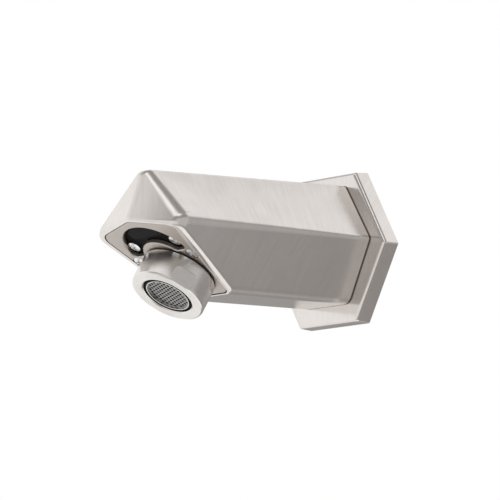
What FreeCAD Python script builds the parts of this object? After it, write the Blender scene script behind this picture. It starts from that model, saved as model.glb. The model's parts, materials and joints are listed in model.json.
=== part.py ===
import FreeCAD, Part
import math
import os
from FreeCAD import Placement, Rotation, Vector

# A touch-free wall spout: a hexagonal cast body on a hexagonal wall plate, with a sensor and an
# aerator in its slanted underside. Millimetres. The origin is on the wall, at the centre of the
# water inlet. +Y runs into the wall, so the spout points along -Y, and +Z is up.

X_AXIS = Vector(1, 0, 0)
Y_AXIS = Vector(0, 1, 0)
Z_AXIS = Vector(0, 0, 1)

# Wall plate: a regular hexagon with its points left and right, drafted outwards to the wall
PLATE_FLATS = 64.0
PLATE_DEPTH = 7.5
PLATE_DRAFT = 0.5
PLATE_SKIN = 3.0
PLATE_EDGE_R = 1.7
PLATE_CORNER_R = 0.8
SOCKET_DEPTH = 1.0

# Body: three long edges a side, each as (half width, height) at the plate and one step forward
TOP_EDGE = ((12.9, 26.9), (3.2, 25.8))
SIDE_RIDGE = ((28.2, 2.6), (28.35, 3.5))
BOTTOM_EDGE = ((14.4, -24.3), (17.2, -25.2))
SECTION_STEP = 100.0
BODY_WALL = 3.0
BASE_THICKNESS = 13.0
BODY_BACK_Y = -PLATE_DEPTH + SOCKET_DEPTH

# Nose: two facets that meet on the centre line; they cross the axis at the reach
NOSE_REACH = 120.5
NOSE_SWEEP = 0.266
NOSE_LEAN = 0.38

# Slanted underside; the head's own frame has its origin on the underside's lower edge
UNDER_TILT = 32.8
HEAD_Y = -74.75
HEAD_Z = -25.0

# Edge roundings of the body
RIDGE_R_WALL = 2.3
RIDGE_R_NOSE = 5.0
LONG_EDGE_R = 2.5
FOOT_EDGE_R = 5.0
FACET_R = 4.2
FACET_R_SIDE = 6.0
NOSE_RIDGE_R = 8.0
UNDER_R = 2.2
UNDER_BACK_R = 0.6

# Cover plate in the underside, in the head's frame: u across, v up the slope, h outwards
COVER_TIP_V = 51.5
COVER_SIDE = (23.2, 45.3)
COVER_FOOT = (14.2, 1.2)
COVER_TIP_R = 6.0
COVER_SIDE_R = 4.5
COVER_FOOT_R = 3.0
COVER_THICKNESS = 2.0
COVER_GAP = 0.4
LEDGE_WIDTH = 1.6
LEDGE_THICKNESS = 3.0

# Sensor recess, cut as part of a disc above the outlet, with a round tongue of the cover in it
RECESS_V = 30.75
RECESS_R = 17.0
RECESS_FOOT_V = 30.5
RECESS_FOOT_R = 2.5
TONGUE_V = 26.5
TONGUE_R = 11.0
TONGUE_FOOT_R = 1.5
RECESS_BEVEL = 0.35
RECESS_FLOOR_H = -2.4
MODULE_FLANGE = 3.6
MODULE_BODY = (17.2, 14.5, 8.0)
MODULE_BODY_V = 31.5
MODULE_R = 17.5
MODULE_FOOT_V = 27.5
WINDOW_R = 15.8
WINDOW_FOOT_V = 39.3
WINDOW_THICKNESS = 1.4
WINDOW_H = -2.0
EYE_U = 5.5
EYE_V = 42.0
EYE_R = 2.5
BOARD = (17.0, 13.5, 1.6)
CONNECTOR = (7.0, 4.5, 3.0)

# Screws: M3, pan heads with a cross recess
SCREW_R = 1.45
TAPPED_R = 1.5
SCREW_CLEAR_R = 1.65
HEAD_R = 2.75
HEAD_HEIGHT = 1.45
BOSS_R = 3.1
SENSOR_SCREW = (13.2, 35.3)
COVER_SCREW = (17.0, 27.3)
COUNTERBORE_R = 2.95
COUNTERBORE_DEPTH = 1.2
SCREW_LENGTH = 10.0

# Outlet: a boss cast in the body, a chromed collar screwed into it, and the aerator on the collar
OUTLET_V = 18.0
BOSS_OUTLET_R = 11.0
BOSS_OUTLET_TOP_H = -26.0
COLLAR_R = 15.1
COLLAR_CLEAR_R = 15.3
COLLAR_TOP_H = -2.3
COLLAR_BOTTOM_H = -0.3
STEM_R = 8.0
STEM_LENGTH = 9.7
SPUD_R = 13.92
SPUD_END_H = 6.0
SEAL_R = 15.1
WATERWAY_R = 5.0

# Aerator housing, with a pair of wrench flats
HOUSING_R = 16.2
HOUSING_TOP_H = 0.6
HOUSING_LIP_H = 13.2
HOUSING_THREAD_R = 14.0
SHOULDER_H = 9.2
LIP_OPENING_R = 11.1
FLAT_DISTANCE = 15.3
FLAT_TOP_H = 5.6
FLAT_CORNER_R = 2.6
FLAT_TURN = 21.5

# Aerator insert: a plastic cartridge with a perforated steel cup in its face
INSERT_FLANGE_R = 13.4
INSERT_FLANGE_TOP_H = 7.55
INSERT_R = 11.0
INSERT_BORE_R = 8.6
INSERT_END_H = 12.4
SCREEN_R = 9.8
SCREEN_RIM = 0.5
SCREEN_BACK_H = 11.4
SCREEN_FRONT_H = 12.7
SCREEN_THICKNESS = 0.3
SCREEN_PITCH = 1.85
SCREEN_HOLE_R = 0.6
SCREEN_TURN = 17.0

# Water inlet, G 1/2 female thread in a brass adapter
INLET_R = 10.48
INLET_THREAD = 12.0
INLET_DEPTH = 14.0
INLET_RELIEF_R = 10.9
ADAPTER_SLEEVE_R = 13.0
ADAPTER_THREAD_R = 13.45
ADAPTER_FLATS = 31.0
ADAPTER_FLANGE_Y = (-4.45, -1.5)
ADAPTER_SHOULDER_Y = -16.2
ADAPTER_NOSE_R = 9.4
ADAPTER_NOSE_Y = -27.0
GASKET_SEAT_Y = -17.5
TUBE_R = 5.0
TUBE_BORE_R = 4.0
TUBE_SOCKET = 6.0
TUBE_FRONT_Y = -74.3
O_RING_Y = -70.0

# Cable entry above the inlet
CABLE_Z = 19.0
CABLE_R = 2.5
GROMMET_R = 3.55

FIT = 0.05
FAR = 300.0


# ---------------------------------------------------------------- helpers

def head_frame():
    """The placement of the underside: x across, y up the slope, z outwards."""
    return Placement(Vector(0, HEAD_Y, HEAD_Z), Rotation(X_AXIS, 180.0 - UNDER_TILT))


def from_head(shape):
    """Move a shape from the head's frame to the spout's frame."""
    placed = shape.copy()
    placed.Placement = head_frame().multiply(placed.Placement)
    return placed


def inset_outline(points, inset):
    """Move each side of a clockwise outline inwards, and return its new corners."""
    sides = []
    for start, end in zip(points, points[1:] + points[:1]):
        length = math.dist(start, end)
        nx = -(end[1] - start[1]) / length
        ny = (end[0] - start[0]) / length
        sides.append((nx, ny, nx * start[0] + ny * start[1] - inset))
    corners = []
    for i, (bx, by, bd) in enumerate(sides):
        ax, ay, ad = sides[i - 1]
        scale = ax * by - ay * bx
        corners.append(((ad * by - ay * bd) / scale, (ax * bd - ad * bx) / scale))
    return corners


def mirrored(half):
    """A closed outline from its right half, listed from top to bottom."""
    return half + [(-x, z) for x, z in reversed(half)]


def wire_at(points, y):
    corners = [Vector(x, y, z) for x, z in points]
    return Part.makePolygon(corners + corners[:1])


def prism(outline, low, high, corner_radii=()):
    """A flat outline extruded along z, with its upright corners rounded."""
    corners = [Vector(x, y, low) for x, y in outline]
    face = Part.Face(Part.makePolygon(corners + corners[:1]))
    solid = face.extrude(Vector(0, 0, high - low))
    for (x, y), radius in corner_radii:
        upright = [edge for edge in solid.Edges if runs_up_at(edge, x, y)]
        solid = solid.makeFillet(radius, upright)
    return solid


def runs_up_at(edge, x, y):
    box = edge.BoundBox
    near = math.hypot(box.Center.x - x, box.Center.y - y) < 0.01
    return near and box.ZLength > 0.1 and box.XLength < 0.01


def disc(radius, low, high, u=0.0, v=0.0):
    return Part.makeCylinder(radius, high - low, Vector(u, v, low))


def ring(outer, inner, low, high, u=0.0, v=0.0):
    return disc(outer, low, high, u, v).cut(disc(inner, low, high, u, v))


def block(width, depth, low, high, u=0.0, v_low=0.0):
    return Part.makeBox(width, depth, high - low, Vector(u - width / 2, v_low, low))


def turned(profile):
    """A solid turned about z from a closed (radius, height) profile."""
    points = [Vector(r, 0, h) for r, h in profile]
    face = Part.Face(Part.makePolygon(points + points[:1]))
    return face.revolve(Vector(0, 0, 0), Z_AXIS, 360)


def along_y(radius, y_low, y_high, z=0.0):
    return Part.makeCylinder(radius, y_high - y_low, Vector(0, y_low, z), Y_AXIS)


def tube_y(outer, inner, y_low, y_high, z=0.0):
    return along_y(outer, y_low, y_high, z).cut(along_y(inner, y_low, y_high, z))


def hexagon(flats):
    """A hexagon with its points left and right, clockwise from the top."""
    half = flats / 2
    point = flats / math.sqrt(3)
    return mirrored([(point / 2, half), (point, 0.0), (point / 2, -half)])


def hex_prism(flats, y_low, y_high):
    face = Part.Face(wire_at(hexagon(flats), y_low))
    return face.extrude(Vector(0, y_high - y_low, 0))


def beyond(point, normal):
    """A large block that fills the space beyond a plane."""
    box = Part.makeBox(FAR, FAR, FAR, Vector(-FAR / 2, -FAR / 2, 0))
    box.Placement = Placement(point, Rotation(Z_AXIS, normal))
    return box


def fused(shapes):
    return shapes[0].multiFuse(shapes[1:])


def pair(shape):
    """A shape and its mirror image in the plane x = 0."""
    return [shape, shape.mirror(Vector(0, 0, 0), X_AXIS)]


def save(node, shape):
    solid = shape.removeSplitter() if shape.ShapeType != "Compound" else shape
    solid.exportStep(os.path.join("parts", node + ".step"))


# ---------------------------------------------------------------- body

def section(y):
    """The body's hexagonal outline at a distance from the wall."""
    forward = (-PLATE_DEPTH - y) / SECTION_STEP
    half = []
    for near, far in (TOP_EDGE, SIDE_RIDGE, BOTTOM_EDGE):
        half.append(tuple(a + (b - a) * forward for a, b in zip(near, far)))
    return mirrored(half)


def nose_plane(side, inset=0.0):
    normal = Vector(NOSE_SWEEP * side, -1.0, NOSE_LEAN)
    distance = (NOSE_REACH - inset * normal.Length) / normal.Length ** 2
    return normal * distance, normal


def under_plane(inset=0.0):
    tilt = math.radians(UNDER_TILT)
    normal = Vector(0, -math.sin(tilt), -math.cos(tilt))
    return Vector(0, HEAD_Y, HEAD_Z) - normal * inset, normal


def body_block(inset=0.0, under_inset=0.0, back_y=BODY_BACK_Y):
    """The body without its roundings, or the same form shrunk by a wall thickness."""
    front_y = -NOSE_REACH - 10.0
    ends = [wire_at(inset_outline(section(y), inset), y) for y in (back_y, front_y)]
    form = Part.makeLoft(ends, True, True)
    for side in (1, -1):
        form = form.cut(beyond(*nose_plane(side, inset)))
    return form.cut(beyond(*under_plane(under_inset)))


def body_roundings():
    """Edges of the body's right half as (start, end, radius at start, radius at end).

    Each corner is named by what meets there and given by an (x, y, z) that is good to 1 mm.
    """
    wall_y = BODY_BACK_Y
    top_wall = (13.0, wall_y, 26.9)
    side_wall = (28.2, wall_y, 2.6)
    foot_wall = (14.4, wall_y, -24.3)
    top_nose = (3.0, -109.9, 25.8)
    ridge_top = (0.0, -110.7, 25.8)
    side_nose = (28.4, -111.6, 3.5)
    under_side = (26.9, -113.4, -0.1)
    under_tip = (0.0, -119.1, 3.6)
    under_foot = (16.3, -75.0, -24.9)
    foot_left = (-16.3, -75.0, -24.9)
    return [
        (side_wall, side_nose, RIDGE_R_WALL, RIDGE_R_NOSE),
        (top_wall, top_nose, LONG_EDGE_R, LONG_EDGE_R),
        (foot_wall, under_foot, FOOT_EDGE_R, FOOT_EDGE_R),
        (ridge_top, under_tip, NOSE_RIDGE_R, NOSE_RIDGE_R),
        (ridge_top, top_nose, FACET_R, FACET_R),
        (top_nose, side_nose, FACET_R, FACET_R_SIDE),
        (side_nose, under_side, RIDGE_R_NOSE, RIDGE_R_NOSE),
        (under_tip, under_side, UNDER_R, UNDER_R),
        (under_foot, under_side, UNDER_R, UNDER_R),
        (under_foot, foot_left, UNDER_BACK_R, UNDER_BACK_R),
    ]


def edge_index(shape, start, end):
    """The number of the edge between two corners, and whether it starts at the first."""
    for number, edge in enumerate(shape.Edges, 1):
        first, last = (vertex.Point for vertex in (edge.Vertexes[0], edge.Vertexes[-1]))
        if (first - start).Length < 1.0 and (last - end).Length < 1.0:
            return number, True
        if (first - end).Length < 1.0 and (last - start).Length < 1.0:
            return number, False
    raise ValueError("no edge from %s to %s" % (start, end))


def round_edges(shape, roundings):
    """Round all the listed edges and their mirror images in one operation."""
    picked = {}
    for start, end, start_r, end_r in roundings:
        for side in (1, -1):
            a = Vector(start[0] * side, start[1], start[2])
            b = Vector(end[0] * side, end[1], end[2])
            number, forward = edge_index(shape, a, b)
            picked[number] = (start_r, end_r) if forward else (end_r, start_r)
    return fillet_edges(shape, picked)


def fillet_edges(shape, radii):
    """Round edges in one operation, from {edge number: (radius at its start, at its end)}."""
    document = FreeCAD.newDocument()
    plain = document.addObject("Part::Feature")
    plain.Shape = shape
    fillet = document.addObject("Part::Fillet")
    fillet.Base = plain
    fillet.Edges = [(number, ends[0], ends[1]) for number, ends in radii.items()]
    document.recompute()
    return fillet.Shape.copy()


def body_bosses():
    """Metal that stays inside the body: the outlet boss, its web and the screw bosses."""
    web_half = 2.0
    outlet = disc(BOSS_OUTLET_R, BOSS_OUTLET_TOP_H, RECESS_FLOOR_H + FIT, v=OUTLET_V)
    web = block(60.0, 2 * web_half, -18.0, -6.0, v_low=OUTLET_V - web_half)
    sensor_u, sensor_v = SENSOR_SCREW
    cover_u, cover_v = COVER_SCREW
    sensor_top_h = RECESS_FLOOR_H - MODULE_FLANGE - FIT
    sensor = disc(BOSS_R, -45.0, sensor_top_h, sensor_u, sensor_v)
    cover = disc(BOSS_R, -12.5, -COVER_THICKNESS, cover_u, cover_v)
    return fused([outlet, web] + pair(sensor) + pair(cover))


def outlet_waterway():
    """The cored and tapped passages of the outlet boss."""
    thread_top_h = COLLAR_TOP_H - STEM_LENGTH - 0.5
    thread = disc(STEM_R + FIT, thread_top_h, 1.0, v=OUTLET_V)
    core = disc(WATERWAY_R, -22.0, thread_top_h, v=OUTLET_V)
    groove = disc(9.9, -4.0, 0.0, v=OUTLET_V)
    return fused([thread, core, groove])


def spout_body():
    """The cast shell: pocket and ledge for the cover, base with the adapter's thread."""
    outer = round_edges(body_block(), body_roundings())
    ledge_h = -COVER_THICKNESS
    cavity_back = BODY_BACK_Y - BASE_THICKNESS
    cavity = body_block(BODY_WALL, COVER_THICKNESS + LEDGE_THICKNESS, cavity_back)
    opening = cover_form(LEDGE_WIDTH, ledge_h - LEDGE_THICKNESS - 0.1, ledge_h + 0.1)
    collar_room = disc(COLLAR_CLEAR_R, -5.1, 0.1, v=OUTLET_V)
    hollow = cavity.fuse(from_head(opening)).fuse(from_head(collar_room))
    hollow = hollow.cut(from_head(body_bosses()))
    pocket = cover_form(-COVER_GAP, ledge_h, 1.0)
    tapped_cover = pair(disc(TAPPED_R, -11.8, 0.0, *COVER_SCREW))
    tapped_sensor = pair(disc(TAPPED_R, -17.0, 0.0, *SENSOR_SCREW))
    tube_port = along_y(TUBE_R + FIT, -78.0, -60.0)
    ring_groove = along_y(6.9, O_RING_Y - 1.0, O_RING_Y + 1.0)
    adapter_hole = along_y(ADAPTER_THREAD_R + FIT, GASKET_SEAT_Y, BODY_BACK_Y)
    adapter_nose = along_y(ADAPTER_NOSE_R + 0.4, cavity_back - 1.0, GASKET_SEAT_Y + 0.1)
    cable_hole = along_y(GROMMET_R + FIT, cavity_back - 1.0, BODY_BACK_Y, CABLE_Z)
    tools = [from_head(shape) for shape in [pocket, outlet_waterway()] + tapped_cover + tapped_sensor]
    tools += [tube_port, ring_groove, adapter_hole, adapter_nose, cable_hole]
    body = outer.cut(hollow)
    for tool in tools:
        body = body.cut(tool)
    return body


# ---------------------------------------------------------------- wall side

def plate_socket():
    """The cutter for the body's place in the plate: the body's outline with rounded corners."""
    outline = inset_outline(section(BODY_BACK_Y), -FIT)
    half_radii = (LONG_EDGE_R, RIDGE_R_WALL, FOOT_EDGE_R)
    radii = [radius + FIT for radius in half_radii + half_radii[::-1]]
    cutter = prism(outline, -BODY_BACK_Y, PLATE_DEPTH + 1.0, list(zip(outline, radii)))
    cutter.rotate(Vector(0, 0, 0), X_AXIS, 90.0)
    return cutter


def wall_plate():
    """A hexagonal cup with a socket in its front face for the body."""
    front_half = PLATE_FLATS / 2
    back_flats = PLATE_FLATS + 2 * PLATE_DRAFT
    ends = [wire_at(hexagon(PLATE_FLATS), -PLATE_DEPTH), wire_at(hexagon(back_flats), 0.0)]
    plate = Part.makeLoft(ends, True, True)
    radii = {}
    for number, edge in enumerate(plate.Edges, 1):
        if edge.BoundBox.YLength > PLATE_DEPTH - 0.01:
            radii[number] = (PLATE_CORNER_R, PLATE_CORNER_R)
        elif edge.BoundBox.YMax < -PLATE_DEPTH + 0.01:
            radii[number] = (PLATE_EDGE_R, PLATE_EDGE_R)
    plate = fillet_edges(plate, radii)
    cup = hex_prism(2 * (front_half - PLATE_SKIN), -PLATE_DEPTH + PLATE_SKIN, 1.0)
    adapter_hole = along_y(ADAPTER_THREAD_R + 0.25, -PLATE_DEPTH, 0.0)
    cable_hole = along_y(GROMMET_R + 0.9, -PLATE_DEPTH, 0.0, CABLE_Z)
    for tool in (cup, plate_socket(), adapter_hole, cable_hole):
        plate = plate.cut(tool)
    return plate


def wall_gasket():
    """A foam ring in the plate's cup that seals against the wall."""
    flats = PLATE_FLATS - 2 * PLATE_SKIN - 0.6
    ring_solid = hex_prism(flats, -PLATE_DEPTH + PLATE_SKIN + FIT, 0.0)
    return ring_solid.cut(along_y(22.0, -PLATE_DEPTH, 1.0))


def inlet_adapter():
    """A brass socket that screws into the body and takes the wall's nipple."""
    flange_low, flange_high = ADAPTER_FLANGE_Y
    body = fused([
        hex_prism(ADAPTER_FLATS, flange_low, flange_high),
        along_y(ADAPTER_SLEEVE_R, flange_low, 0.0),
        along_y(ADAPTER_THREAD_R, ADAPTER_SHOULDER_Y, flange_low),
        along_y(ADAPTER_NOSE_R, ADAPTER_NOSE_Y, ADAPTER_SHOULDER_Y),
    ])
    body = body.cut(along_y(INLET_R, -INLET_THREAD, 1.0))
    body = body.cut(along_y(INLET_RELIEF_R, -INLET_DEPTH, -INLET_THREAD))
    body = body.cut(along_y(TUBE_BORE_R, ADAPTER_NOSE_Y, 0.0))
    return body.cut(along_y(TUBE_R + FIT, ADAPTER_NOSE_Y, ADAPTER_NOSE_Y + TUBE_SOCKET))


def adapter_gasket():
    return tube_y(13.3, ADAPTER_NOSE_R + 0.1, GASKET_SEAT_Y + FIT, ADAPTER_SHOULDER_Y - FIT)


def inlet_washer():
    return tube_y(INLET_RELIEF_R - 0.2, 6.5, -INLET_DEPTH + FIT, -INLET_THREAD - FIT)


def inlet_strainer():
    """A small perforated disc held in the inlet washer."""
    disc_solid = along_y(6.4, -INLET_DEPTH + 0.6, -INLET_DEPTH + 1.2)
    holes = [along_y(0.5, -INLET_DEPTH, 0.0)]
    for radius, count in ((1.9, 6), (3.7, 12), (5.3, 18)):
        for step in range(count):
            turn = 2 * math.pi * step / count
            hole = along_y(0.5, -INLET_DEPTH, 0.0)
            hole.translate(Vector(radius * math.cos(turn), 0, radius * math.sin(turn)))
            holes.append(hole)
    return disc_solid.cut(Part.makeCompound(holes))


def cable_grommet():
    """A rubber sleeve with a head inside the body."""
    sleeve = along_y(GROMMET_R, BODY_BACK_Y - BASE_THICKNESS, -4.6, CABLE_Z)
    head = along_y(4.3, BODY_BACK_Y - BASE_THICKNESS - 1.6, BODY_BACK_Y - BASE_THICKNESS - FIT, CABLE_Z)
    neck = along_y(GROMMET_R, BODY_BACK_Y - BASE_THICKNESS - 1.0, -10.0, CABLE_Z)
    return fused([sleeve, neck, head]).cut(along_y(CABLE_R, -30.0, 0.0, CABLE_Z))


def water_tube():
    back_y = ADAPTER_NOSE_Y + TUBE_SOCKET - 0.2
    return tube_y(TUBE_R, TUBE_BORE_R, TUBE_FRONT_Y, back_y)


def tube_o_ring():
    return Part.makeTorus(6.0, 0.85, Vector(0, O_RING_Y, 0), Y_AXIS)


# ---------------------------------------------------------------- underside, in the head's frame

def cover_outline(inset):
    """The five corners of the cover, clockwise from its tip."""
    tip = (0.0, COVER_TIP_V)
    side_left = (-COVER_SIDE[0], COVER_SIDE[1])
    foot_left = (-COVER_FOOT[0], COVER_FOOT[1])
    outline = [tip, COVER_SIDE, COVER_FOOT, foot_left, side_left]
    return inset_outline(outline, inset)


def cover_form(inset, low, high):
    """The cover's outline as a prism, with rounded corners."""
    outline = cover_outline(inset)
    radii = (COVER_TIP_R, COVER_SIDE_R, COVER_FOOT_R, COVER_FOOT_R, COVER_SIDE_R)
    rounded = [(corner, max(radius - inset, 0.3)) for corner, radius in zip(outline, radii)]
    return prism(outline, low, high, rounded)


def recess_form(radius, foot_v, low, high):
    """A disc with its lower part cut off straight, the two new corners rounded."""
    whole = disc(radius, low, high, v=RECESS_V)
    lower = block(2 * radius + 2, 2 * radius, low - 1, high + 1, v_low=foot_v - 2 * radius)
    form = whole.cut(lower)
    half = math.sqrt(radius ** 2 - (foot_v - RECESS_V) ** 2)
    corners = [e for side in (half, -half) for e in form.Edges if runs_up_at(e, side, foot_v)]
    return form.makeFillet(RECESS_FOOT_R, corners)


def cover_recess():
    """The sensor's opening in the cover, which runs round a tongue of the cover."""
    form = recess_form(RECESS_R, RECESS_FOOT_V, -COVER_THICKNESS, 0.0)
    form = form.cut(disc(TONGUE_R, -COVER_THICKNESS, 0.0, v=TONGUE_V))
    half = math.sqrt(TONGUE_R ** 2 - (RECESS_FOOT_V - TONGUE_V) ** 2)
    corners = [e for side in (half, -half) for e in form.Edges if runs_up_at(e, side, RECESS_FOOT_V)]
    return form.makeFillet(TONGUE_FOOT_R, corners)


def is_recess_rim(edge):
    """True for an edge of the recess in the cover's outer face."""
    box = edge.BoundBox
    flat = abs(box.ZMin) < 0.01 and abs(box.ZMax) < 0.01
    inside = box.YMin > RECESS_FOOT_V - 0.01 and box.XLength < 2 * RECESS_R + 0.01
    return flat and inside and box.YMax < RECESS_V + RECESS_R + 0.01


def cover_plate():
    plate = cover_form(0.0, -COVER_THICKNESS, 0.0)
    plate = plate.cut(cover_recess())
    rim = [edge for edge in plate.Edges if is_recess_rim(edge)]
    plate = plate.makeChamfer(RECESS_BEVEL, rim)
    plate = plate.cut(disc(COLLAR_CLEAR_R, -COVER_THICKNESS, 0.0, v=OUTLET_V))
    for u in (COVER_SCREW[0], -COVER_SCREW[0]):
        plate = plate.cut(disc(SCREW_CLEAR_R, -COVER_THICKNESS, 0.0, u, COVER_SCREW[1]))
        plate = plate.cut(disc(COUNTERBORE_R, -COUNTERBORE_DEPTH, 0.0, u, COVER_SCREW[1]))
    return from_head(plate)


def pan_screw(seat_h, u, v, turn):
    """A machine screw with a domed head and a cross recess; it points inwards."""
    dome_rise = 0.5
    dome_r = (HEAD_R ** 2 + dome_rise ** 2) / (2 * dome_rise)
    top_h = seat_h + HEAD_HEIGHT
    head = disc(HEAD_R, seat_h, top_h, u, v)
    head = head.common(Part.makeSphere(dome_r, Vector(u, v, top_h - dome_r)))
    shank = disc(SCREW_R, seat_h - SCREW_LENGTH, seat_h, u, v)
    screw = head.fuse(shank)
    for angle in (turn, turn + 90):
        slot = Part.makeBox(3.3, 0.75, 1.0, Vector(-1.65, -0.375, top_h - 0.85))
        slot.rotate(Vector(0, 0, 0), Z_AXIS, angle)
        slot.translate(Vector(u, v, 0))
        screw = screw.cut(slot)
    return screw


def screw_pair(seat_h, place, turns):
    u, v = place
    right = pan_screw(seat_h, u, v, turns[0])
    left = pan_screw(seat_h, -u, v, turns[1])
    return Part.makeCompound([from_head(right), from_head(left)])


def sensor_module():
    """The black housing whose face is the floor of the recess."""
    floor = RECESS_FLOOR_H
    back = floor - MODULE_FLANGE
    width, depth, height = MODULE_BODY
    flange = recess_form(MODULE_R, MODULE_FOOT_V, back, floor)
    body = block(width, depth, back - height, back, v_low=MODULE_BODY_V)
    module = flange.fuse(body)
    window = recess_form(WINDOW_R + FIT, WINDOW_FOOT_V - FIT, WINDOW_H - WINDOW_THICKNESS - FIT, 0.0)
    module = module.cut(window)
    module = module.cut(disc(BOSS_OUTLET_R + 0.3, back - height, floor, v=OUTLET_V))
    for side in (1, -1):
        module = module.cut(disc(EYE_R + 0.1, back - height, floor, side * EYE_U, EYE_V))
        module = module.cut(disc(BOSS_R + 0.3, back, floor, side * COVER_SCREW[0], COVER_SCREW[1]))
        module = module.cut(disc(SCREW_CLEAR_R, back, floor, side * SENSOR_SCREW[0], SENSOR_SCREW[1]))
    return from_head(module)


def sensor_window():
    """The smoked lens over the two eyes."""
    low = WINDOW_H - WINDOW_THICKNESS
    lens = recess_form(WINDOW_R, WINDOW_FOOT_V, low, WINDOW_H)
    return from_head(lens)


def infrared_eye(side):
    """A domed diode with two leads that run to the board."""
    back = RECESS_FLOOR_H - MODULE_FLANGE - MODULE_BODY[2]
    dome_base = WINDOW_H - WINDOW_THICKNESS - EYE_R - 0.3
    can = disc(EYE_R, dome_base - 3.3, dome_base, side * EYE_U, EYE_V)
    dome = Part.makeSphere(EYE_R, Vector(side * EYE_U, EYE_V, dome_base))
    dome = dome.common(disc(EYE_R + 1, dome_base, dome_base + EYE_R + 1, side * EYE_U, EYE_V))
    leads = [disc(0.3, back - FIT, dome_base - 3.2, side * EYE_U + step, EYE_V) for step in (-1.27, 1.27)]
    return from_head(fused([can, dome] + leads))


def sensor_gasket():
    """A thin curved seal between the module and the cover."""
    low = RECESS_FLOOR_H + FIT
    high = -COVER_THICKNESS - FIT
    band = ring(RECESS_R + 0.6, RECESS_R + FIT, low, high, v=RECESS_V)
    cut_off = block(60.0, 60.0, low - 1, high + 1, v_low=RECESS_V + 1.0 - 60.0)
    return from_head(band.cut(cut_off))


def sensor_board():
    top = RECESS_FLOOR_H - MODULE_FLANGE - MODULE_BODY[2] - 2 * FIT
    width, depth, thickness = BOARD
    return from_head(block(width, depth, top - thickness, top, v_low=MODULE_BODY_V + 0.5))


def board_connector():
    top = RECESS_FLOOR_H - MODULE_FLANGE - MODULE_BODY[2] - 3 * FIT - BOARD[2]
    width, depth, height = CONNECTOR
    shell = block(width, depth, top - height, top, v_low=MODULE_BODY_V + 4.0)
    mouth = block(width - 1.4, depth - 1.4, top - height, top - 0.8, v_low=MODULE_BODY_V + 4.7)
    return from_head(shell.cut(mouth))


# ---------------------------------------------------------------- outlet, in the head's frame

def at_outlet(shape):
    """Move a shape turned about z onto the outlet's axis."""
    shape.translate(Vector(0, OUTLET_V, 0))
    return from_head(shape)


def outlet_collar():
    """A chromed collar: stem into the boss, flange against it, threaded spud below."""
    soft = 0.4
    profile = [
        (WATERWAY_R, COLLAR_TOP_H - STEM_LENGTH),
        (STEM_R, COLLAR_TOP_H - STEM_LENGTH),
        (STEM_R, COLLAR_TOP_H),
        (COLLAR_R - soft, COLLAR_TOP_H),
        (COLLAR_R, COLLAR_TOP_H + soft),
        (COLLAR_R, COLLAR_BOTTOM_H - soft),
        (COLLAR_R - soft, COLLAR_BOTTOM_H),
        (SPUD_R, COLLAR_BOTTOM_H),
        (SPUD_R, SPUD_END_H),
        (STEM_R + 1.5, SPUD_END_H),
        (STEM_R, SPUD_END_H - 1.5),
        (STEM_R, COLLAR_BOTTOM_H + 1.5),
        (WATERWAY_R, COLLAR_BOTTOM_H),
    ]
    return at_outlet(turned(profile))


def collar_seal():
    """A rubber ring that fills the groove between the collar's flange and the housing."""
    return at_outlet(ring(SEAL_R, SPUD_R + FIT, COLLAR_BOTTOM_H + FIT, HOUSING_TOP_H - FIT))


def collar_o_ring():
    return at_outlet(Part.makeTorus(9.0, 0.7, Vector(0, 0, -3.2), Z_AXIS))


def aerator_gasket():
    return at_outlet(ring(INSERT_FLANGE_R, 10.4, SPUD_END_H + FIT, 7.5))


def insert_body():
    """The aerator cartridge: a flange that sits on the housing's shoulder, and a cup."""
    seat_h = SCREEN_BACK_H - FIT
    profile = [
        (INSERT_BORE_R, INSERT_FLANGE_TOP_H),
        (INSERT_FLANGE_R, INSERT_FLANGE_TOP_H),
        (INSERT_FLANGE_R, SHOULDER_H - FIT),
        (INSERT_R, SHOULDER_H - FIT),
        (INSERT_R, INSERT_END_H - 0.3),
        (INSERT_R - 0.3, INSERT_END_H),
        (SCREEN_R + FIT, INSERT_END_H),
        (SCREEN_R + FIT, seat_h),
        (INSERT_BORE_R, seat_h),
    ]
    return at_outlet(turned(profile))


def flow_regulator():
    """A disc with a star of water slots."""
    disc_solid = disc(INSERT_BORE_R - FIT, 7.7, 9.6)
    slots = []
    for step in range(8):
        slot = Part.makeBox(3.4, 0.9, 4.0, Vector(3.4, -0.45, 6.5))
        slot.rotate(Vector(0, 0, 0), Z_AXIS, 45.0 * step)
        slots.append(slot)
    return at_outlet(disc_solid.cut(Part.makeCompound(slots)))


def mesh_screen():
    """A steel cup in the insert's face: a rim round a disc of close-packed round holes."""
    inner_r = SCREEN_R - SCREEN_RIM
    front_h = SCREEN_BACK_H + SCREEN_THICKNESS
    cup = disc(SCREEN_R, SCREEN_BACK_H, SCREEN_FRONT_H).cut(disc(inner_r, front_h, SCREEN_FRONT_H))
    reach = inner_r - 1.3 * SCREEN_HOLE_R
    row_step = SCREEN_PITCH * math.sin(math.radians(60))
    rows = int(reach / row_step)
    columns = int(reach / SCREEN_PITCH) + 1
    holes = []
    for row in range(-rows, rows + 1):
        shift = SCREEN_PITCH / 2 if row % 2 else 0.0
        for column in range(-columns, columns + 1):
            u = column * SCREEN_PITCH + shift
            v = row * row_step
            if math.hypot(u, v) < reach:
                holes.append(disc(SCREEN_HOLE_R, SCREEN_BACK_H - 1, SCREEN_FRONT_H, u, v))
    screen = cup.cut(Part.makeCompound(holes))
    screen.rotate(Vector(0, 0, 0), Z_AXIS, SCREEN_TURN)
    return at_outlet(screen)


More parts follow.
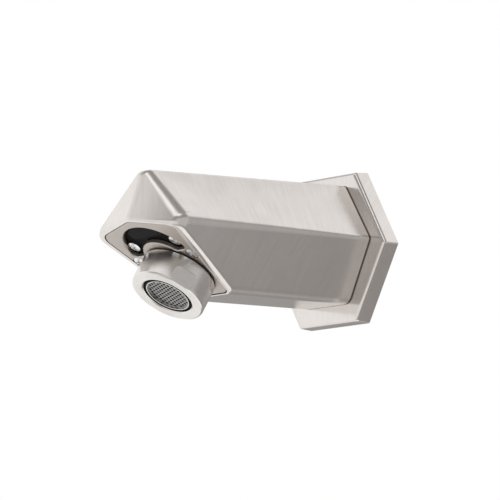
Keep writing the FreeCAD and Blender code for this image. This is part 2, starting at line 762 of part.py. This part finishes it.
def wrench_flat(turn):
    """The cutter for one flat: it opens at the lip and has rounded upper corners."""
    half = math.sqrt(HOUSING_R ** 2 - FLAT_DISTANCE ** 2)
    low, high = FLAT_TOP_H, HOUSING_LIP_H + 5.0
    cutter = Part.makeBox(5.0, 2 * half, high - low, Vector(FLAT_DISTANCE, -half, low))
    upper = [e for e in cutter.Edges if e.BoundBox.XLength > 4.9 and e.BoundBox.ZMax < low + 0.01]
    cutter = cutter.makeFillet(FLAT_CORNER_R, upper)
    cutter.rotate(Vector(0, 0, 0), Z_AXIS, turn)
    return cutter


def aerator_housing():
    """A thick sleeve, threaded on the collar, with a lip that holds the insert."""
    profile = [
        (HOUSING_THREAD_R, HOUSING_TOP_H),
        (HOUSING_R - 0.3, HOUSING_TOP_H),
        (HOUSING_R, HOUSING_TOP_H + 0.3),
        (HOUSING_R, HOUSING_LIP_H - 1.0),
        (HOUSING_R - 0.25, HOUSING_LIP_H - 0.3),
        (HOUSING_R - 0.7, HOUSING_LIP_H),
        (LIP_OPENING_R + 0.5, HOUSING_LIP_H),
        (LIP_OPENING_R, HOUSING_LIP_H - 0.5),
        (LIP_OPENING_R, SHOULDER_H),
        (HOUSING_THREAD_R, SHOULDER_H),
    ]
    sleeve = turned(profile)
    for turn in (FLAT_TURN, FLAT_TURN + 180.0):
        sleeve = sleeve.cut(wrench_flat(turn))
    return at_outlet(sleeve)


def main():
    os.makedirs("parts", exist_ok=True)
    cover_seat_h = -COUNTERBORE_DEPTH + FIT
    sensor_seat_h = RECESS_FLOOR_H + FIT
    nodes = {
        "spout_body": spout_body(),
        "wall_plate": wall_plate(),
        "wall_gasket": wall_gasket(),
        "inlet_adapter": inlet_adapter(),
        "adapter_gasket": adapter_gasket(),
        "inlet_washer": inlet_washer(),
        "inlet_strainer": inlet_strainer(),
        "cable_grommet": cable_grommet(),
        "water_tube": water_tube(),
        "tube_o_ring": tube_o_ring(),
        "cover_plate": cover_plate(),
        "cover_screws": screw_pair(cover_seat_h, COVER_SCREW, (20.0, 65.0)),
        "sensor_module": sensor_module(),
        "sensor_window": sensor_window(),
        "infrared_emitter": infrared_eye(-1),
        "infrared_detector": infrared_eye(1),
        "sensor_screws": screw_pair(sensor_seat_h, SENSOR_SCREW, (50.0, 10.0)),
        "sensor_gasket": sensor_gasket(),
        "sensor_board": sensor_board(),
        "board_connector": board_connector(),
        "outlet_collar": outlet_collar(),
        "collar_seal": collar_seal(),
        "collar_o_ring": collar_o_ring(),
        "aerator_gasket": aerator_gasket(),
        "insert_body": insert_body(),
        "flow_regulator": flow_regulator(),
        "mesh_screen": mesh_screen(),
        "aerator_housing": aerator_housing(),
    }
    for node, shape in nodes.items():
        save(node, shape)


main()
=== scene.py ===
import json
import math

import bpy
from mathutils import Matrix, Vector


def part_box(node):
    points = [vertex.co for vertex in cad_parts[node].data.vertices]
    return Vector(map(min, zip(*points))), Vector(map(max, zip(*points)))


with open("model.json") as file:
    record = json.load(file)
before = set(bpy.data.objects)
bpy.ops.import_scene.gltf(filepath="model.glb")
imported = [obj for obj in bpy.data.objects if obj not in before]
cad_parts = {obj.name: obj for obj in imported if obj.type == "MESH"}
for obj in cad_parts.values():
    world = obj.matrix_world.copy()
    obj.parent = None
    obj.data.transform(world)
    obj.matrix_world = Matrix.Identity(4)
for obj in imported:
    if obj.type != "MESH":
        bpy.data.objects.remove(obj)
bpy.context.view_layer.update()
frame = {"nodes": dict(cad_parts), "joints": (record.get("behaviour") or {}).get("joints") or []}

# A touch-free wall spout in brushed nickel, seen from the right and a little from below.
# The frame is in metres, with +Y into the wall, so the spout points along -Y, and +Z is up.

# Camera
CAMERA_AZIMUTH = 49.0
CAMERA_ELEVATION = -7.54
CAMERA_ROLL = -0.484
CAMERA_DISTANCE = 1.7524
CAMERA_LENS_MM = 299.7
CAMERA_AIM = Vector((0.0089, -0.0588, -0.0046))

# Stage
FLOOR_DROP = 1.6
FLOOR_SIZE = 6.0
FLOOR_COLOUR = (0.86, 0.86, 0.85)

# Height of the scratches in the metal's grain
GRAIN_DEPTH = 0.00002

# Finish: how far the polished facets of the nose lean over their half width, as a slope, the
# width of the rubbed edges, and the painted shade on the line where the body leaves the wall plate
NOSE_CROWN = 0.11
EDGE_POLISH_WIDTH = 0.0004
SEAM_WIDTH = 0.0008
# colour of the painted shade on that line
SEAM_SHADE_COLOUR = (0.16, 0.14, 0.13, 1.0)

# A plain studio: a grey room with six large soft sources, each as azimuth, elevation, half width,
# half height, softness (degrees) and brightness. Azimuth 0 is in front of the spout and 90 to its
# right. The dark parts of the room are warm.
ROOM_LEVEL = 0.35
ROOM_STRENGTH = 2.0
DARK_TINT = (1.0, 0.88, 0.83)
STUDIO = {
    "wall on the right": (80, 0, 50, 30, 20, 0.60),
    "overhead softbox behind": (180, 45, 50, 15, 15, 1.00),
    "overhead softbox in front": (0, 60, 60, 12, 12, 1.30),
    "softbox on the left": (285, -5, 45, 45, 25, 1.05),
    "wall in front": (0, -10, 35, 30, 20, 0.90),
    "floor": (0, -90, 180, 35, 12, 1.15),
}

# ---------------------------------------------------------------- node helpers

class Graph:
    """A short way to write a shader tree: each call adds one node and returns an output."""

    def __init__(self, tree):
        self.tree = tree
        tree.nodes.clear()

    def add(self, kind, inputs=None, output=0, **settings):
        node = self.tree.nodes.new(kind)
        for name, value in settings.items():
            setattr(node, name, value)
        for key, value in (inputs or {}).items():
            self.feed(node.inputs[key], value)
        return node.outputs[output]

    def feed(self, socket, value):
        if isinstance(value, bpy.types.NodeSocket):
            self.tree.links.new(value, socket)
        else:
            socket.default_value = value

    def math(self, operation, *values):
        inputs = dict(enumerate(values))
        return self.add("ShaderNodeMath", inputs, operation=operation)

    def vector(self, operation, *values, output=0):
        inputs = dict(enumerate(values))
        return self.add("ShaderNodeVectorMath", inputs, output, operation=operation)

    def span(self, value, low, high, to_low=0.0, to_high=1.0):
        """value mapped smoothly from low..high to to_low..to_high."""
        inputs = {0: value, 1: low, 2: high, 3: to_low, 4: to_high}
        return self.add("ShaderNodeMapRange", inputs, interpolation_type="SMOOTHSTEP")

    def noise(self, vector, scale, detail=3.0, roughness=0.5):
        inputs = {"Vector": vector, "Scale": scale, "Detail": detail, "Roughness": roughness}
        return self.add("ShaderNodeTexNoise", inputs, noise_dimensions="3D")

    def blend(self, factor, first, second):
        inputs = {0: factor, 6: first, 7: second}
        return self.add("ShaderNodeMix", inputs, output=2, data_type="RGBA")

    def position(self):
        return self.add("ShaderNodeTexCoord", output=3)

    def bump(self, height, strength, distance, normal=None):
        inputs = {"Height": height, "Strength": strength, "Distance": distance}
        if normal is not None:
            inputs["Normal"] = normal
        return self.add("ShaderNodeBump", inputs)


def rgba(colour, scale=1.0):
    return tuple(min(1.0, c * scale) for c in colour) + (1.0,)


def shader(name, build, **constants):
    """A Principled material: build(graph) returns the linked sockets, constants the fixed ones."""
    material = bpy.data.materials.new(name)
    material.use_nodes = True
    graph = Graph(material.node_tree)
    surface = material.node_tree.nodes.new("ShaderNodeBsdfPrincipled")
    output = material.node_tree.nodes.new("ShaderNodeOutputMaterial")
    material.node_tree.links.new(surface.outputs[0], output.inputs[0])
    for socket, value in constants.items():
        surface.inputs[socket.replace("_", " ")].default_value = value
    for socket, value in build(graph).items():
        graph.feed(surface.inputs[socket], value)
    return material


# ---------------------------------------------------------------- the outlet's axis

def outlet_axis():
    """A point on the aerator's axis and its direction, from the joint that turns it."""
    joint = next(j for j in frame["joints"] if j["name"] == "aerator_turn")
    return Vector(joint["pos_m"]), Vector(joint["axis"]).normalized()


# ---------------------------------------------------------------- brushed metal

def scaled(graph, vector, factor):
    return graph.add("ShaderNodeVectorMath", {0: vector, 3: factor}, operation="SCALE")


def around(graph, origin, axis):
    """Height along an axis, distance from it, and the direction around it."""
    offset = graph.vector("SUBTRACT", graph.position(), tuple(origin))
    height = graph.vector("DOT_PRODUCT", offset, tuple(axis), output=1)
    turn = graph.vector("NORMALIZE", graph.vector("CROSS_PRODUCT", tuple(axis), offset))
    radial = graph.vector("SUBTRACT", offset, scaled(graph, tuple(axis), height))
    return height, graph.vector("LENGTH", radial, output=1), radial, turn


def to_world(graph, direction):
    settings = {"vector_type": "VECTOR", "convert_from": "OBJECT", "convert_to": "WORLD"}
    return graph.add("ShaderNodeVectorTransform", {0: direction}, **settings)


def crowned_normal(graph):
    """The nose's two facets are hand polished, so their normals fan out a little sideways."""
    low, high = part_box("spout_body")
    half_width = (high[0] - low[0]) / 2
    x = graph.vector("DOT_PRODUCT", graph.position(), (1.0, 0.0, 0.0), output=1)
    normal = graph.add("ShaderNodeNewGeometry", output=1)
    facing = graph.vector("DOT_PRODUCT", normal, (0.0, -1.0, 0.0), output=1)
    nose = graph.span(facing, 0.70, 0.85)
    side = graph.add("ShaderNodeClamp", {0: graph.math("DIVIDE", x, 0.15 * half_width), 1: -1.0, 2: 1.0})
    outwards = graph.math("SUBTRACT", graph.math("ABSOLUTE", x), 0.45 * half_width)
    lean = graph.math("MULTIPLY", graph.math("DIVIDE", outwards, half_width), 2.0 * NOSE_CROWN)
    lean = graph.math("MULTIPLY", lean, graph.math("MULTIPLY", side, nose))
    return graph.vector("NORMALIZE", graph.vector("ADD", normal, scaled(graph, (1.0, 0.0, 0.0), lean)))


def edge_polish(graph):
    """1 on sharp edges, which handling has rubbed brighter, and 0 on open faces."""
    rounded = graph.add("ShaderNodeBevel", {0: EDGE_POLISH_WIDTH}, samples=4)
    normal = graph.add("ShaderNodeNewGeometry", output=1)
    return graph.span(graph.vector("DOT_PRODUCT", rounded, normal, output=1), 0.85, 0.99, 1.0, 0.0)


def painted_seam_shade(graph):
    """Painted shade: 1 on the thin line where the body leaves the wall plate, and 0 elsewhere."""
    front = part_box("wall_plate")[0][1]
    y = graph.vector("DOT_PRODUCT", graph.position(), (0.0, 1.0, 0.0), output=1)
    return graph.span(y, front - SEAM_WIDTH, front - 0.5 * SEAM_WIDTH)


def metal_sockets(graph, grain, clouds, colour, tint, roughness, bump_height, normal=None):
    """Colour, roughness and bump of a brushed metal, from its grain and its soft clouding."""
    tone = graph.math("ADD", graph.math("MULTIPLY", grain, 0.6), graph.math("MULTIPLY", clouds, 0.4))
    shade = graph.blend(graph.span(tone, 0.3, 0.7), rgba(colour, 0.95), rgba(tint, 1.03))
    shade = graph.blend(graph.math("MULTIPLY", edge_polish(graph), 0.5), shade, rgba(tint, 1.15))
    rough = graph.add(
        "ShaderNodeMapRange", {0: tone, 1: 0.25, 2: 0.75, 3: roughness + 0.03, 4: roughness - 0.03}
    )
    bumped = graph.bump(grain, 0.35, bump_height, normal)
    return {"Base Color": shade, "Roughness": rough, "Normal": bumped}


def linear_grain(graph, length_axis, slant, fine, coarse):
    """Streaks that run across length_axis, and lean by slant for each metre of height."""
    place = graph.position()
    leaning = tuple(Vector(length_axis) + Vector((0.0, 0.0, slant)))
    station = graph.vector("DOT_PRODUCT", place, leaning, output=1)
    along = Vector(length_axis).normalized()
    offset = scaled(graph, tuple(along), graph.vector("DOT_PRODUCT", place, tuple(along), output=1))
    slow = scaled(graph, graph.vector("SUBTRACT", place, offset), 60.0)
    fast = graph.add("ShaderNodeCombineXYZ", {1: graph.math("MULTIPLY", station, fine)})
    medium = graph.add("ShaderNodeCombineXYZ", {1: graph.math("MULTIPLY", station, coarse)})
    hairs = graph.noise(graph.vector("ADD", slow, fast), 1.0, 4.0, 0.65)
    bands = graph.noise(graph.vector("ADD", slow, medium), 1.0, 2.0, 0.5)
    return graph.math("ADD", graph.math("MULTIPLY", hairs, 0.75), graph.math("MULTIPLY", bands, 0.25))


def brushed_nickel(length_axis, slant, across, roughness, crowned=False, seam_shaded=False):
    """Grain in one direction. Reflections smear across it, so they stay crisp along it."""
    def build(graph):
        grain = linear_grain(graph, length_axis, slant, 2300.0, 420.0)
        clouds = graph.noise(graph.position(), 55.0, 3.0, 0.55)
        normal = crowned_normal(graph) if crowned else None
        colours = (0.740, 0.702, 0.668), (0.765, 0.728, 0.697)
        sockets = metal_sockets(graph, grain, clouds, *colours, roughness, GRAIN_DEPTH, normal)
        if seam_shaded:
            # painted shade on the line where the body leaves the wall plate
            sockets["Base Color"] = graph.blend(painted_seam_shade(graph), sockets["Base Color"], SEAM_SHADE_COLOUR)
        sockets["Tangent"] = to_world(graph, across)
        return sockets
    return build


def turned_nickel(graph):
    origin, axis = outlet_axis()
    height, radius, radial, turn = around(graph, origin, axis)
    slow = scaled(graph, radial, 90.0)
    lines = graph.add(
        "ShaderNodeCombineXYZ",
        {0: graph.math("MULTIPLY", height, 2600.0), 1: graph.math("MULTIPLY", radius, 2600.0)},
    )
    grain = graph.noise(graph.vector("ADD", slow, lines), 1.0, 4.0, 0.6)
    clouds = graph.noise(graph.position(), 120.0, 2.0, 0.5)
    sockets = metal_sockets(
        graph, grain, clouds, (0.760, 0.726, 0.696), (0.790, 0.757, 0.727), 0.22, GRAIN_DEPTH
    )
    outwards = graph.vector("ADD", graph.vector("NORMALIZE", radial), tuple(axis))
    sockets["Tangent"] = to_world(graph, outwards)
    return sockets


def satin_nickel(graph):
    grain = linear_grain(graph, (1.0, 0.0, 0.0), 0.0, 2400.0, 600.0)
    clouds = graph.noise(graph.position(), 90.0, 3.0, 0.5)
    return metal_sockets(
        graph, grain, clouds, (0.545, 0.495, 0.455), (0.590, 0.540, 0.500), 0.44, GRAIN_DEPTH
    )


def chrome(graph):
    smear = graph.noise(graph.position(), 300.0, 4.0, 0.6)
    shade = graph.blend(smear, rgba((0.74, 0.74, 0.745)), rgba((0.82, 0.82, 0.82)))
    rough = graph.span(smear, 0.3, 0.7, 0.05, 0.12)
    return {"Base Color": shade, "Roughness": rough, "Normal": graph.bump(smear, 0.1, 0.00002)}


def stainless(graph):
    smear = graph.noise(graph.position(), 700.0, 3.0, 0.6)
    shade = graph.blend(smear, rgba((0.66, 0.65, 0.63)), rgba((0.76, 0.75, 0.73)))
    rough = graph.span(smear, 0.3, 0.7, 0.20, 0.32)
    return {"Base Color": shade, "Roughness": rough, "Normal": graph.bump(smear, 0.2, 0.00002)}


def screen_steel(graph):
    """The aerator's screen: dull perforated sheet inside a brighter rolled rim."""
    origin, axis = outlet_axis()
    radius = around(graph, origin, axis)[1]
    low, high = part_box("mesh_screen")
    rim_radius = (high[0] - low[0]) / 2
    rim = graph.span(radius, 0.93 * rim_radius, 0.95 * rim_radius)
    smear = graph.noise(graph.position(), 900.0, 3.0, 0.6)
    sheet = graph.blend(smear, rgba((0.26, 0.25, 0.24)), rgba((0.36, 0.35, 0.34)))
    shade = graph.blend(rim, sheet, rgba((0.62, 0.61, 0.60)))
    rough = graph.span(smear, 0.3, 0.7, 0.22, 0.34)
    return {"Base Color": shade, "Roughness": rough, "Normal": graph.bump(smear, 0.2, 0.00002)}


def brass(graph):
    origin, axis = Vector((0.0, 0.0, 0.0)), Vector((0.0, 1.0, 0.0))
    height, radius, radial, turn = around(graph, origin, axis)
    lines = graph.add(
        "ShaderNodeCombineXYZ",
        {0: graph.math("MULTIPLY", height, 1600.0), 1: graph.math("MULTIPLY", radius, 1600.0)},
    )
    grain = graph.noise(lines, 1.0, 3.0, 0.6)
    tarnish = graph.noise(graph.position(), 140.0, 4.0, 0.6)
    shade = graph.blend(graph.span(tarnish, 0.35, 0.7), rgba((0.72, 0.53, 0.25)), rgba((0.50, 0.34, 0.15)))
    rough = graph.span(tarnish, 0.3, 0.7, 0.22, 0.40)
    return {"Base Color": shade, "Roughness": rough, "Normal": graph.bump(grain, 0.3, 0.00003)}


# ---------------------------------------------------------------- plastics, rubber and foam

def moulded(dark, light, rough_low, rough_high, scale, height):
    """A moulded surface: fine texture, slightly uneven colour and gloss."""
    def build(graph):
        texture = graph.noise(graph.position(), scale, 3.0, 0.6)
        clouds = graph.noise(graph.position(), scale / 12.0, 2.0, 0.5)
        shade = graph.blend(graph.span(clouds, 0.3, 0.7), rgba(dark), rgba(light))
        rough = graph.span(texture, 0.3, 0.7, rough_low, rough_high)
        return {"Base Color": shade, "Roughness": rough, "Normal": graph.bump(texture, 0.3, height)}
    return build


def circuit_board(graph):
    traces = graph.add(
        "ShaderNodeTexBrick",
        {"Vector": graph.vector("MULTIPLY", graph.position(), (700.0, 500.0, 500.0)), "Scale": 1.0},
        output=1,
    )
    shade = graph.blend(traces, rgba((0.02, 0.17, 0.07)), rgba((0.03, 0.25, 0.10)))
    return {"Base Color": shade, "Roughness": 0.35, "Normal": graph.bump(traces, 0.3, 0.00003)}


def materials():
    """One material for each slot of the record."""
    metal = {"Metallic": 1.0}
    brushed = {"Metallic": 1.0, "Anisotropic": 0.75}
    lathed = {"Metallic": 1.0, "Anisotropic": 0.80}
    dull = {"Specular_IOR_Level": 0.03}
    return {
        "brushed_nickel": shader(
            "brushed_nickel",
            # the last argument adds painted shade where the body leaves the wall plate
            brushed_nickel((0.0, 1.0, 0.0), -0.30, (0.0, 1.0, 0.0), 0.21, crowned=True, seam_shaded=True),
            **brushed,
        ),
        "plate_nickel": shader(
            "plate_nickel",
            brushed_nickel((1.0, 0.4, 0.0), 0.0, (1.0, 0.4, 0.0), 0.16),
            **brushed,
        ),
        "turned_nickel": shader("turned_nickel", turned_nickel, **lathed),
        "satin_nickel": shader("satin_nickel", satin_nickel, **metal),
        "chrome": shader("chrome", chrome, **metal),
        "steel": shader("steel", stainless, **metal),
        "screen_steel": shader("screen_steel", screen_steel, **metal),
        "brass": shader("brass", brass, **metal),
        "rubber": shader(
            "rubber", moulded((0.018, 0.018, 0.018), (0.035, 0.034, 0.033), 0.5, 0.7, 2500.0, 0.00003)
        ),
        "foam": shader(
            "foam", moulded((0.05, 0.05, 0.05), (0.09, 0.09, 0.088), 0.85, 0.98, 1800.0, 0.0002)
        ),
        "black_plastic": shader(
            "black_plastic",
            moulded((0.010, 0.008, 0.008), (0.016, 0.013, 0.014), 0.4, 0.55, 3000.0, 0.00002),
            **dull,
        ),
        "smoked_lens": shader(
            "smoked_lens",
            moulded((0.010, 0.008, 0.009), (0.014, 0.011, 0.012), 0.12, 0.22, 900.0, 0.000005),
            **dull,
        ),
        "eye_plastic": shader(
            "eye_plastic", moulded((0.03, 0.02, 0.05), (0.05, 0.035, 0.08), 0.08, 0.15, 900.0, 0.000005)
        ),
        "white_plastic": shader(
            "white_plastic", moulded((0.70, 0.69, 0.65), (0.78, 0.77, 0.73), 0.4, 0.55, 2500.0, 0.00002)
        ),
        "circuit_board": shader("circuit_board", circuit_board),
    }


def paint_nodes(made):
    """Give each CAD node the material of its slot, or a closer one of its own."""
    special = {
        "wall_plate": "plate_nickel",
        "aerator_housing": "turned_nickel",
        "mesh_screen": "screen_steel",
    }
    for name, node in frame["nodes"].items():
        for slot in node.material_slots:
            slot.material = made[special.get(name, slot.material.name.split(".")[0])]


# ---------------------------------------------------------------- stage, light and camera

def direction(azimuth, elevation):
    a, e = math.radians(azimuth), math.radians(elevation)
    return Vector((math.sin(a) * math.cos(e), -math.cos(a) * math.cos(e), math.sin(e)))


def window_mask(graph, azimuth, elevation, window):
    """1 inside one soft source of the studio, 0 outside it."""
    centre, height, half_width, half_height, soft, level = window
    across = graph.math("SUBTRACT", azimuth, float(centre))
    across = graph.math("ABSOLUTE", graph.add(
        "ShaderNodeMath", {0: across, 1: -180.0, 2: 180.0}, operation="WRAP"))
    upright = graph.math("ABSOLUTE", graph.math("SUBTRACT", elevation, float(height)))
    side = graph.span(across, half_width - soft / 2, half_width + soft / 2, 1.0, 0.0)
    ends = graph.span(upright, half_height - soft / 2, half_height + soft / 2, 1.0, 0.0)
    if half_width >= 180:
        return ends
    return graph.math("MULTIPLY", side, ends)


def tinted(level):
    """The colour of a part of the room, divided by ROOM_STRENGTH to stay within 0 and 1."""
    share = min(2.0 * level, 1.0)
    return tuple(level / ROOM_STRENGTH * (warm + (1.0 - warm) * share) for warm in DARK_TINT) + (1.0,)


def studio():
    """A white background for the camera, and a grey room with soft sources for the metal to reflect."""
    world = bpy.data.worlds.new("studio")
    bpy.context.scene.world = world
    world.use_nodes = True
    graph = Graph(world.node_tree)
    view = graph.add("ShaderNodeTexCoord", output=0)
    parts = graph.tree.nodes.new("ShaderNodeSeparateXYZ")
    graph.feed(parts.inputs[0], view)
    x, y, z = parts.outputs
    azimuth = graph.math("ARCTAN2", x, graph.math("MULTIPLY", y, -1.0))
    azimuth = graph.math("DEGREES", azimuth)
    elevation = graph.math("DEGREES", graph.math("ARCSINE", z))
    light = tinted(ROOM_LEVEL)
    for window in STUDIO.values():
        light = graph.blend(window_mask(graph, azimuth, elevation, window), light, tinted(window[-1]))
    room = graph.add("ShaderNodeBackground", {"Color": light, "Strength": ROOM_STRENGTH})
    white = graph.add("ShaderNodeBackground", {"Color": (1.0, 1.0, 1.0, 1.0), "Strength": 1.0})
    seen = graph.add("ShaderNodeLightPath", output=0)
    surface = graph.add("ShaderNodeMixShader", {0: seen, 1: room, 2: white})
    output = graph.tree.nodes.new("ShaderNodeOutputWorld")
    graph.tree.links.new(surface, output.inputs[0])


def floor_material(graph):
    speck = graph.noise(graph.position(), 40.0, 3.0, 0.5)
    shade = graph.blend(speck, rgba(FLOOR_COLOUR, 0.98), rgba(FLOOR_COLOUR))
    return {"Base Color": shade, "Roughness": 0.9}


def pale_floor():
    """A plain floor well below the spout. The metal reflects the studio instead of it."""
    half = FLOOR_SIZE / 2
    mesh = bpy.data.meshes.new("floor")
    corners = [(-half, -half, 0), (half, -half, 0), (half, half, 0), (-half, half, 0)]
    mesh.from_pydata(corners, [], [(0, 1, 2, 3)])
    floor = bpy.data.objects.new("floor", mesh)
    floor.location = (0.0, 0.0, -FLOOR_DROP)
    floor.visible_glossy = False
    floor.visible_diffuse = False
    glow = {"Emission_Color": (1.0, 1.0, 1.0, 1.0), "Emission_Strength": 0.45}
    mesh.materials.append(shader("pale_floor", floor_material, **glow))
    bpy.context.scene.collection.objects.link(floor)


def camera():
    back = direction(CAMERA_AZIMUTH, CAMERA_ELEVATION)
    right = Vector((math.cos(math.radians(CAMERA_AZIMUTH)), math.sin(math.radians(CAMERA_AZIMUTH)), 0.0))
    up = back.cross(right)
    roll = math.radians(CAMERA_ROLL)
    level = right * math.cos(roll) + up * math.sin(roll)
    upright = up * math.cos(roll) - right * math.sin(roll)
    data = bpy.data.cameras.new("camera")
    data.lens = CAMERA_LENS_MM
    data.sensor_width = 36.0
    data.clip_start = 0.01
    data.clip_end = 50.0
    eye = bpy.data.objects.new("camera", data)
    turn = Matrix((level, upright, back)).transposed().to_4x4()
    eye.matrix_world = Matrix.Translation(CAMERA_AIM + back * CAMERA_DISTANCE) @ turn
    bpy.context.scene.collection.objects.link(eye)
    bpy.context.scene.camera = eye


paint_nodes(materials())
studio()
pale_floor()
camera()
bpy.context.scene.view_settings.view_transform = "Standard"
